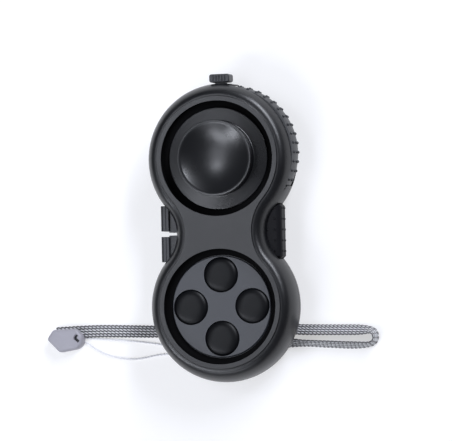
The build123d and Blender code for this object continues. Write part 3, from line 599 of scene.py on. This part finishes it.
# %% Bumps on the wheel
WHEEL = middle("gear_wheel")
WHEEL_R = box_mm("gear_wheel")[1][0] - WHEEL[0]
BUMPS_ROUND = 45
BUMP_ROWS = (-2.5, 0.0, 2.5)
BUMP_ALONG, BUMP_ACROSS, BUMP_HEIGHT = 0.55, 0.6, 0.5  # half sizes along and across the rim
CROWN, HALF_RIM = 0.6, 4.0
BUMP_SINK = 0.15  # how far a bump starts below the surface
BUMP_END = 0.15  # how far short of a quarter turn its last ring stops


def bump(centre, out, side, upward, half_side, half_up, height, around=10, layers=4):
    """Small dome: rings shrink as cos t while they rise as sin t, t from 0 to nearly a quarter turn."""
    t = np.linspace(0, math.pi / 2 - BUMP_END, layers)
    a = np.linspace(0, 2 * math.pi, around, endpoint=False)[:, None]
    lift = np.concatenate([[-BUMP_SINK], height * np.sin(t)])
    share = np.concatenate([[1.0], np.cos(t)])
    ring = np.cos(a) * side * half_side + np.sin(a) * upward * half_up
    return skin(np.array([centre + out * h + k * ring for h, k in zip(lift, share)]))


wheel_bumps = []
for z in BUMP_ROWS:
    rim = WHEEL_R - CROWN * (z / HALF_RIM) ** 2
    for k in range(BUMPS_ROUND):
        a = 2 * math.pi * k / BUMPS_ROUND
        out = np.array([math.cos(a), math.sin(a), 0.0])
        side = np.array([-math.sin(a), math.cos(a), 0.0])
        wheel_bumps.append(bump(WHEEL + out * rim + [0, 0, z], out, side, np.array([0, 0, 1.0]),
                                BUMP_ALONG, BUMP_ACROSS, BUMP_HEIGHT))
grip = piece("wheel_grip_bumps", "gear_wheel", wheel_bumps, sharp=60)

# %% [markdown]
# ## The soft side panel
# A soft insert fills the waist on the right. Rows of small nubs stand on its front, outer and rear faces,
# and the same low dome serves for them. The outer ones are lower, as the panel's own box has to hold
# them.

# %% Nubs on the panel
PANEL_LOW, PANEL_HIGH = box_mm("massage_panel")
PANEL_MIDDLE = (PANEL_LOW[2] + PANEL_HIGH[2]) / 2
NUB_PITCH, NUB_START = 3.62, 0.5
NUB_X = (16.0, 18.6)  # two rows on the front and on the rear face
NUB_Z = (-1.8, 0.0, 1.8)  # three rows on the outer face
NUB_R, NUB_HEIGHT, OUTER_HEIGHT = 0.42, 0.3, 0.18

sideways, lengthways, upwards = np.eye(3)
nubs = []
for k in range(-2, 3):
    y = WAIST_Y + NUB_START + k * NUB_PITCH
    for x in NUB_X:
        for out, z in ((upwards, PANEL_HIGH[2]), (-upwards, PANEL_LOW[2])):
            nubs.append(bump(np.array([x, y, z]), out, sideways, lengthways, NUB_R, NUB_R, NUB_HEIGHT))
    for z in NUB_Z:
        spot = np.array([PANEL_HIGH[0], y, PANEL_MIDDLE + z])
        nubs.append(bump(spot, sideways, lengthways, upwards, NUB_R, NUB_R, OUTER_HEIGHT))
panel_nubs = piece("panel_nubs", "root", nubs, sharp=60)

# %% [markdown]
# ## From hex colours to materials
# Colours are written as the hex values of a paint chart. Light adds up in linear numbers, so each channel
# goes through the sRGB curve once. `add_node` is the only helper that adds to a node tree: it makes a
# node, sets what is a value and links what is another node's output.

# %% Colour and node helpers
def linear(hex_colour):
    """sRGB hex to linear RGBA: c / 12.92 below 0.04045, else ((c + 0.055) / 1.055)^2.4."""
    c = np.array([int(hex_colour[i:i + 2], 16) for i in (1, 3, 5)]) / 255
    return (*np.where(c <= 0.04045, c / 12.92, ((c + 0.055) / 1.055) ** 2.4).tolist(), 1.0)


def add_node(tree, kind, inputs=None, **settings):
    """One shader node. settings are its own options. An input is a value, or the output socket to link
    from."""
    made = tree.nodes.new(kind)
    for key, value in settings.items():
        setattr(made, key, value)
    for socket, value in (inputs or {}).items():
        if isinstance(value, bpy.types.NodeSocket):
            tree.links.new(value, made.inputs[socket])
        else:
            made.inputs[socket].default_value = value
    return made


def new_material(name):
    """An empty material and its node tree."""
    material = bpy.data.materials.new(name)
    material.use_nodes = True
    material.node_tree.nodes.clear()
    return material, material.node_tree


# %% Moulded and coated surfaces
DRIFT = 11.0  # size of the broad patches, in millimetres
# roughness and shader specular of the painted shade down in the two round recesses
RECESS_SHADE_ROUGHNESS, RECESS_SHADE_SPECULAR = 0.8, 0.06
PLAIN_SPECULAR = 0.5  # the shader's own value
RECESS_SHADE_FROM, RECESS_SHADE_TO = 0.5, 1.0  # below the face the painted shade in the recesses fades in between these depths


def recess_share(tree, place):
    """1 down in either round recess, where shade is painted, and 0 on the face outside: nearer than RECESS_R
    to a lobe's axis, and more than a little below the face."""
    inside = []
    for lobe in (UPPER, LOWER):
        flat = add_node(tree, "ShaderNodeVectorMath", {0: place, 1: (1, 1, 0)}, operation="MULTIPLY")
        axis = (lobe[0] * MM, lobe[1] * MM, 0)
        reach = add_node(tree, "ShaderNodeVectorMath", {0: flat.outputs[0], 1: axis}, operation="DISTANCE")
        near = {0: reach.outputs["Value"], 1: RECESS_R * MM}
        inside.append(add_node(tree, "ShaderNodeMath", near, operation="LESS_THAN").outputs[0])
    either = add_node(tree, "ShaderNodeMath", {0: inside[0], 1: inside[1]}, operation="ADD")
    height = add_node(tree, "ShaderNodeSeparateXYZ", {"Vector": place}).outputs["Z"]
    below = add_node(tree, "ShaderNodeMapRange", {
        "Value": height, "From Min": (FACE - RECESS_SHADE_FROM) * MM, "From Max": (FACE - RECESS_SHADE_TO) * MM,
    })
    both = {0: either.outputs[0], 1: below.outputs["Result"]}
    return add_node(tree, "ShaderNodeMath", both, operation="MULTIPLY", use_clamp=True).outputs[0]


def moulded(name, dark, light, roughness, grain=0.3, depth=0.02, spread=0.05, shader=None, recess_shade=None):
    """Moulded or coated surface. A fine noise gives the grain of the mould as bump, and a broad one drifts
    the colour from dark to light and the roughness by spread. grain and depth are in millimetres. The colour
    given for the two round recesses is painted shade: down in them the surface turns to that darker colour,
    rougher and less shiny, in place of the shade of their deep gaps."""
    material, tree = new_material(name)
    place = add_node(tree, "ShaderNodeTexCoord").outputs["Object"]
    fine = add_node(tree, "ShaderNodeTexNoise", {
        "Vector": place, "Scale": 1 / (grain * MM), "Detail": 3.0, "Roughness": 0.6,
    })
    broad = add_node(tree, "ShaderNodeTexNoise", {"Vector": place, "Scale": 1 / (DRIFT * MM), "Detail": 3.0})
    tone = add_node(tree, "ShaderNodeMix", {
        "Factor": broad.outputs["Fac"], 6: linear(dark), 7: linear(light),
    }, data_type="RGBA")
    gloss = add_node(tree, "ShaderNodeMapRange", {
        "Value": broad.outputs["Fac"], "From Min": 0.3, "From Max": 0.7,
        "To Min": roughness - spread, "To Max": roughness + spread,
    })
    relief = add_node(tree, "ShaderNodeBump", {
        "Height": fine.outputs["Fac"], "Strength": 0.6, "Distance": depth * MM,
    })
    inputs = {"Base Color": tone.outputs[2], "Roughness": gloss.outputs["Result"],
              "Normal": relief.outputs["Normal"], **(shader or {})}
    # painted shade: down in the two round recesses the surface turns darker, rougher and less shiny, for the
    # shade in their deep gaps
    if recess_shade:
        share = recess_share(tree, place)
        inputs["Base Color"] = add_node(tree, "ShaderNodeMix", {
            "Factor": share, 6: tone.outputs[2], 7: linear(recess_shade),
        }, data_type="RGBA").outputs[2]
        inputs["Roughness"] = add_node(tree, "ShaderNodeMix", {
            "Factor": share, 2: gloss.outputs["Result"], 3: RECESS_SHADE_ROUGHNESS,
        }).outputs[0]
        inputs["Specular IOR Level"] = add_node(tree, "ShaderNodeMix", {
            "Factor": share, 2: PLAIN_SPECULAR, 3: RECESS_SHADE_SPECULAR,
        }).outputs[0]
    surface = add_node(tree, "ShaderNodeBsdfPrincipled", inputs)
    add_node(tree, "ShaderNodeOutputMaterial", {"Surface": surface.outputs["BSDF"]})
    return material


# %% [markdown]
# ## The black plastics
# All the outer pieces are injection-moulded or pressed, and nearly black, so they differ by their gloss
# and grain more than by their colour. ABS has an index of refraction of about 1.54 and silicone rubber
# about 1.43. Real mould grain is near 0.1 mm. It is drawn at about 0.3 mm so that it shows at this
# distance.

# %% Plastics and rubber
ABS = {"IOR": 1.54}
RUBBER = {"IOR": 1.43}
ACETAL = {"IOR": 1.48}
VINYL = {"IOR": 1.53}
FINISHES = {
    # a thin matt coat over ABS: soft, wide reflections and a fine grain that breaks them up. Down in the two
    # round recesses a near-black, less shiny colour is painted shade for their deep gaps
    "casing": moulded("soft_touch_coated_abs", "#0a0b0e", "#101115", 0.34, 0.3, 0.035, 0.03, ABS,
                      recess_shade="#050506"),
    # plain black ABS from a smooth mould: the dish gathers the lights into clear spots
    "joystick_plastic": moulded("satin_moulded_abs", "#0a0b0e", "#0f1014", 0.29, 0.25, 0.015, 0.03,
                                {**ABS, "Specular IOR Level": 0.58}),
    # dark grey ABS from a spark-eroded mould: a coarser, sparkling grain, lighter than the casing
    "button_plate_plastic": moulded("spark_textured_abs", "#2c2e32", "#3a3c42", 0.38, 0.35, 0.04, 0.03, ABS),
    # silicone rubber takes light in: the buttons are the deepest black, with a weak broad shine
    "button_rubber": moulded("moulded_silicone_rubber", "#06070a", "#0a0b0e", 0.40, 0.3, 0.01, 0.03,
                             {**RUBBER, "Specular IOR Level": 0.27}),
    # the membrane under the buttons, a milky grey sheet that is seen only when the pad is opened
    "silicone": moulded("pressed_silicone_sheet", "#8d8d90", "#9a9a9d", 0.5, 0.3, 0.02, 0.05, RUBBER),
    # inner slides and keepers in natural acetal, polished by tumbling: waxy off-white
    "inner_plastic": moulded("tumbled_acetal", "#d8d6cf", "#e4e2dc", 0.4, 0.3, 0.02, 0.05, ACETAL),
    # the wheel is uncoated, so it looks a little greyer than the casing round it
    "wheel_plastic": moulded("moulded_wheel_abs", "#1b1c20", "#25262b", 0.40, 0.25, 0.02, 0.05, ABS),
    # the rear dial comes from a polished mould: sharper, brighter reflections than the casing
    "dial_plastic": moulded("polished_moulded_abs", "#0b0c0f", "#111215", 0.3, 0.3, 0.01, 0.05, ABS),
    # grooved triggers, uncoated: a dull dark grey that lets the grooves show. The dark plug of painted shade
    # in the clip's slot takes it too
    "trigger_plastic": moulded("grooved_moulded_abs", "#1f2024", "#292a2f", 0.38, 0.25, 0.02, 0.05, ABS),
    # a soft rubber blend with hardly any shine: the panel reads as a dark gap with dots
    "panel_rubber": moulded("soft_thermoplastic_rubber", "#08080c", "#0c0c11", 0.5, 0.3, 0.02, 0.05,
                            {**RUBBER, "Specular IOR Level": 0.2}),
    # the slider is uncoated too, a shade greyer than the casing, so that its ribs show
    "knob_plastic": moulded("ribbed_moulded_abs", "#232428", "#2c2d32", 0.4, 0.25, 0.02, 0.05, ABS),
    # soft grey vinyl with a faint violet cast: even and slightly waxy
    "clip_plastic": moulded("soft_grey_pvc", "#95939b", "#a09ea6", 0.42, 0.4, 0.02, 0.06, VINYL),
}
print(len(FINISHES), "moulded finishes")


# %% [markdown]
# ## Steel, string and braid
# Springs are drawn wire and screws are rolled and plated, so the metal is a full metal with a medium
# polish. String and strap are spun from many filaments: fine stripes run along each yarn, from the
# piece's own texture coordinates, and shallow relief on the same stripes makes the yarn glint.

# %% Metal and yarn
STREAK, STREAK_STRETCH, STREAK_SPREAD = 0.4, 0.15, 0.08


def steel(name, colour, roughness):
    """Bare or plated steel with faint streaks in its gloss, from a noise stretched along Z. STREAK is their
    width in millimetres."""
    material, tree = new_material(name)
    place = add_node(tree, "ShaderNodeTexCoord").outputs["Object"]
    stretched = add_node(tree, "ShaderNodeMapping", {"Vector": place, "Scale": (1.0, 1.0, STREAK_STRETCH)})
    streaks = add_node(tree, "ShaderNodeTexNoise", {
        "Vector": stretched.outputs["Vector"], "Scale": 1 / (STREAK * MM), "Detail": 2.0,
    })
    gloss = add_node(tree, "ShaderNodeMapRange", {
        "Value": streaks.outputs["Fac"],
        "To Min": roughness - STREAK_SPREAD, "To Max": roughness + STREAK_SPREAD,
    })
    surface = add_node(tree, "ShaderNodeBsdfPrincipled", {
        "Base Color": linear(colour), "Metallic": 1.0, "Roughness": gloss.outputs["Result"],
    })
    add_node(tree, "ShaderNodeOutputMaterial", {"Surface": surface.outputs["BSDF"]})
    return material


YARN_SLANT = 0.6  # how fast the stripes turn round the yarn, in turns per millimetre
YARN_RELIEF = 0.04
BRAID_SHADE_FROM, BRAID_SHADE_TO = 0.55, 0.95  # lift at which the painted shade on a yarn begins to fade, and where it is gone


def spun(name, dark, light, filaments, roughness, shader=None, under=None):
    """Yarn of many filaments. Stripes run along the yarn, slanted by its own twist, as a sine of the way
    round it. They set the colour between dark and light and give the relief. under is painted shade: the
    colour where a yarn dips below those that cross it, read from the braid's own lift attribute, in place
    of the shadow that the crossing yarns cast. It is drawn darker than life, so that the stitches show."""
    material, tree = new_material(name)
    parts = add_node(tree, "ShaderNodeSeparateXYZ", {
        "Vector": add_node(tree, "ShaderNodeTexCoord").outputs["UV"],
    })
    slant = add_node(tree, "ShaderNodeMath", {0: parts.outputs["X"], 1: YARN_SLANT}, operation="MULTIPLY")
    phase = add_node(tree, "ShaderNodeMath", {
        0: parts.outputs["Y"], 1: slant.outputs["Value"],
    }, operation="ADD")
    turns = add_node(tree, "ShaderNodeMath", {
        0: phase.outputs["Value"], 1: 2 * math.pi * filaments,
    }, operation="MULTIPLY")
    stripe = add_node(tree, "ShaderNodeMath", {0: turns.outputs["Value"]}, operation="SINE")
    share = add_node(tree, "ShaderNodeMapRange", {"Value": stripe.outputs["Value"], "From Min": -1.0})
    tone = add_node(tree, "ShaderNodeMix", {
        "Factor": share.outputs["Result"], 6: linear(dark), 7: linear(light),
    }, data_type="RGBA")
    # painted shade: a yarn darkens where it dips below the yarns that cross it
    if under:
        high = add_node(tree, "ShaderNodeAttribute", attribute_name="lift")
        top = add_node(tree, "ShaderNodeMapRange", {
            "Value": high.outputs["Fac"], "From Min": BRAID_SHADE_FROM, "From Max": BRAID_SHADE_TO,
        }, interpolation_type="SMOOTHSTEP")
        tone = add_node(tree, "ShaderNodeMix", {
            "Factor": top.outputs["Result"], 6: linear(under), 7: tone.outputs[2],
        }, data_type="RGBA")
    relief = add_node(tree, "ShaderNodeBump", {
        "Height": share.outputs["Result"], "Strength": 0.7, "Distance": YARN_RELIEF * MM,
    })
    surface = add_node(tree, "ShaderNodeBsdfPrincipled", {
        "Base Color": tone.outputs[2], "Roughness": roughness, "Normal": relief.outputs["Normal"],
        **(shader or {}),
    })
    add_node(tree, "ShaderNodeOutputMaterial", {"Surface": surface.outputs["BSDF"]})
    return material


FINISHES |= {
    # drawn wire: bright and smooth, with streaks from the die
    "spring_steel": steel("drawn_spring_steel", "#b9bcc0", 0.28),
    # rolled threads under a zinc plating: greyer and duller than the wire
    "screw_steel": steel("zinc_plated_steel", "#a9abae", 0.35),
    # spun polyester: white and dull, with a soft sheen from loose fibre ends
    "string_cord": spun("spun_white_polyester", "#dedee2", "#f6f6f8", 5, 0.55,
                        {"Sheen Weight": 0.3, "Sheen Roughness": 0.4}),
    # smooth polyester filaments, braided: each stitch glints silver, and the dark between the stitches is
    # painted shade
    "strap_braid": spun("braided_bright_polyester", "#c2c2c5", "#f0f0f1", 6, 0.3,
                        {"Sheen Weight": 0.25, "Sheen Roughness": 0.35}, under="#39393c"),
}
print(len(FINISHES), "finishes in all")

# %% [markdown]
# ## Dressing the pieces
# The record says which finish each engineering piece has, so its material is looked up there. New pieces
# take the finish of the piece that they stand for or sit on.

# %% Put the finishes on
def dress(obj, slot):
    """The finish of a slot as the piece's only material."""
    obj.data.materials.clear()
    obj.data.materials.append(FINISHES[slot])


slot_of = {part["node"]: part["material_slot"] for part in frame["record"]["subparts"]}
for name, obj in nodes.items():
    dress(obj, slot_of[name])
print("dressed", len(nodes), "engineering pieces")

NEW_PIECES = {
    "string_cord": [*strands.values(), hitch],
    "strap_braid": [strap],
    "clip_plastic": [clip],
    # the dark plug of painted shade in the clip's slot takes the triggers' dull grey
    "trigger_plastic": [slot_shade_plug],
    "joystick_plastic": [stick],
    "button_rubber": list(buttons.values()),
    "wheel_plastic": [grip],
    "panel_rubber": [panel_nubs],
}
for slot, made in NEW_PIECES.items():
    for obj in made:
        dress(obj, slot)
print("dressed", sum(len(made) for made in NEW_PIECES.values()), "new pieces")

# %% [markdown]
# ## The floor
# The pad lies on a pale acrylic sheet that is lit from behind, as on a light table. The sheet glows
# softly, so the ground comes out nearly white and the pad's shadow stays faint.

# %% Floor
FLOOR_HALF, FLOOR_Z = 1.5, -0.00002  # metres; just below the table height, so that nothing lies in the sheet
FLOOR_GLOW = 0.50

floor_mesh = bpy.data.meshes.new("floor")
corners = np.array([(-1, -1), (1, -1), (1, 1), (-1, 1)]) * FLOOR_HALF
floor_mesh.from_pydata([(*corner, FLOOR_Z) for corner in corners.tolist()], [], [(0, 1, 2, 3)])
floor = bpy.data.objects.new("floor", floor_mesh)
bpy.context.scene.collection.objects.link(floor)
# cast acrylic with a milky filling: even and nearly shineless, and it seems to glow from within
floor.data.materials.append(moulded("backlit_white_acrylic", "#bcbcbe", "#c0c0c2", 0.6, 0.5, 0.01, 0.02, {
    "Specular IOR Level": 0.2, "Emission Color": linear("#ffffff"), "Emission Strength": FLOOR_GLOW,
}))
print("floor", 2 * FLOOR_HALF, "m wide")

# %% [markdown]
# ## The lights
# Black satin plastic shows little of its own colour: what the eye reads is the reflection of the lights. So
# each softbox is placed for the reflection that it makes. A flat face seen by this camera mirrors what hangs
# about 15 degrees to the left of upright, so the overhead box hangs there. A small bright box beside it puts
# a spot in the dish, and another towards the near end lights the dish and the slope of the skirt. Two lower
# boxes, one on the left and one at the near end, draw the rims of both lobes. A long strong one at the upper
# right gives the streak along the rounded shoulder. The dim world leaves the rest dark.

# %% Lights
LAMP_WHITE = "#f1f5ff"  # daylight tubes, a touch blue
LAMP_DISTANCE = 0.9


def softbox(name, right_tilt, up_tilt, wide, high, radiance, spin=0.0):
    """Rectangular light over the pad, tilted off the upright by so many degrees towards +X and +Y and turned
    about its own axis by spin. Its power is pi * area * radiance."""
    light = bpy.data.lights.new(name, "AREA")
    light.shape, light.size, light.size_y = "RECTANGLE", wide, high
    light.energy = math.pi * wide * high * radiance
    light.color = linear(LAMP_WHITE)[:3]
    toward = Vector((math.tan(math.radians(right_tilt)), math.tan(math.radians(up_tilt)), 1)).normalized()
    lamp = bpy.data.objects.new(name, light)
    lamp.location = toward * LAMP_DISTANCE
    lamp.rotation_euler = toward.to_track_quat("Z", "Y").to_euler()
    lamp.rotation_euler.rotate_axis("Z", math.radians(spin))
    bpy.context.scene.collection.objects.link(lamp)
    print(name, "gives", round(light.energy, 2), "W")


softbox("overhead", -18, 3, 0.46, 0.34, 2.7)
softbox("bright_band", -16, 16, 0.20, 0.13, 6.5)
softbox("near_fill", -24, -29, 0.42, 0.18, 8.0)
softbox("low_left", -50, -38, 0.22, 0.30, 9.0)
softbox("near_edge", -16, -58, 0.6, 0.3, 2.6)
softbox("shoulder", 41, 52, 0.75, 0.16, 22.0, spin=-45)

world = bpy.data.worlds.new("dim_studio")
world.use_nodes = True
world.node_tree.nodes["Background"].inputs["Color"].default_value = linear("#f2f4f8")
world.node_tree.nodes["Background"].inputs["Strength"].default_value = 0.12
bpy.context.scene.world = world
bpy.context.scene.view_settings.view_transform = "Standard"
